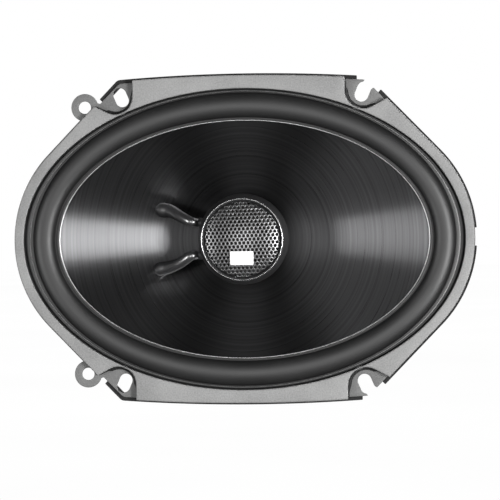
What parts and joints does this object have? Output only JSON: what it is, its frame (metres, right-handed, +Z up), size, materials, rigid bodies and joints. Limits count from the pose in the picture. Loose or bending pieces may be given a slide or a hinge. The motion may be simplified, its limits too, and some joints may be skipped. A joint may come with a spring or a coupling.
{
  "type": "coaxial car speaker",
  "caption": "Car loudspeaker on an oval flange, with a tweeter held on a post in front of the cone; the cone and the tweeter's diaphragm slide on their suspensions.",
  "frame": {"origin": "on the speaker's axis, in the plane of the mounting gasket's rear face", "axes": "+X to the right along the flange's long axis seen from the front, +Y backwards along the speaker's axis, +Z up along the flange's short axis"},
  "size_m": [0.2063, 0.0748, 0.1474],
  "materials": {
    "painted_steel": "silver-grey paint, satin",
    "foam": "matt black closed-cell foam",
    "rubber": "matt black moulded rubber",
    "cone_film": "dark metallised, fine turned grooves",
    "cloth": "resin-dipped woven cloth",
    "silk": "coated silk",
    "former": "amber film",
    "copper": "bare and enamelled copper",
    "steel": "zinc plated",
    "ferrite": "ground ferrite",
    "neodymium": "nickel plated",
    "black_plastic": "fine satin",
    "bright_trim": "bright, polished",
    "grille_mesh": "perforated sheet, satin",
    "sleeve": "glossy sleeve",
    "brass": "satin",
    "tinned_brass": "tinned",
    "board": "phenolic board"
  },
  "bodies": {
    "frame": {"basket_spokes": "painted_steel", "basket_corner_upper_left": "painted_steel", "basket_corner_lower_left": "painted_steel", "basket_corner_upper_right": "painted_steel", "basket_corner_lower_right": "painted_steel", "basket_rim": "painted_steel", "gasket_top": "foam", "gasket_bottom": "foam", "gasket_left": "foam", "gasket_right_upper": "foam", "gasket_right_lower": "foam", "surround": "rubber", "magnet_boot": "rubber", "spider": "cloth", "tweeter_surround": "silk", "tinsel_lead_upper": "copper", "tinsel_lead_lower": "copper", "top_plate": "steel", "back_plate_and_pole": "steel", "tweeter_bolt": "steel", "tweeter_nut": "steel", "tweeter_cup": "steel", "tweeter_pole_plate": "steel", "motor_rivet_1": "steel", "motor_rivet_2": "steel", "motor_rivet_3": "steel", "motor_rivet_4": "steel", "board_rivet_upper": "steel", "board_rivet_lower": "steel", "magnet": "ferrite", "tweeter_magnet": "neodymium", "tweeter_capacitor": "neodymium", "tweeter_post": "black_plastic", "tweeter_housing": "black_plastic", "tweeter_frame": "black_plastic", "tweeter_bezel": "bright_trim", "tweeter_badge": "bright_trim", "tweeter_grille": "grille_mesh", "tweeter_lead_upper": "sleeve", "tweeter_lead_lower": "sleeve", "terminal_positive": "tinned_brass", "terminal_negative": "tinned_brass", "terminal_board": "board"},
    "cone_assembly": {"cone": "cone_film", "cone_eyelet_upper": "brass", "cone_eyelet_lower": "brass", "voice_coil_former": "former", "voice_coil_winding": "copper", "coil_leadout_upper": "copper", "coil_leadout_lower": "copper", "dust_washer": "foam"},
    "tweeter_diaphragm": {"tweeter_dome": "silk", "tweeter_voice_coil": "copper"}
  },
  "joints": [
    {"name": "cone_slide", "type": "slide", "parent": "frame", "child": "cone_assembly", "axis": [0, -1, 0], "range_m": [-0.004, 0.004], "stiffness_N_per_m": 2000, "deforming": ["surround", "spider", "tweeter_lead_upper", "tweeter_lead_lower", "tinsel_lead_upper", "tinsel_lead_lower"]},
    {"name": "tweeter_slide", "type": "slide", "parent": "frame", "child": "tweeter_diaphragm", "axis": [0, -1, 0], "range_m": [-0.0002, 0.0002], "stiffness_N_per_m": 40, "deforming": ["tweeter_surround"]}
  ]
}
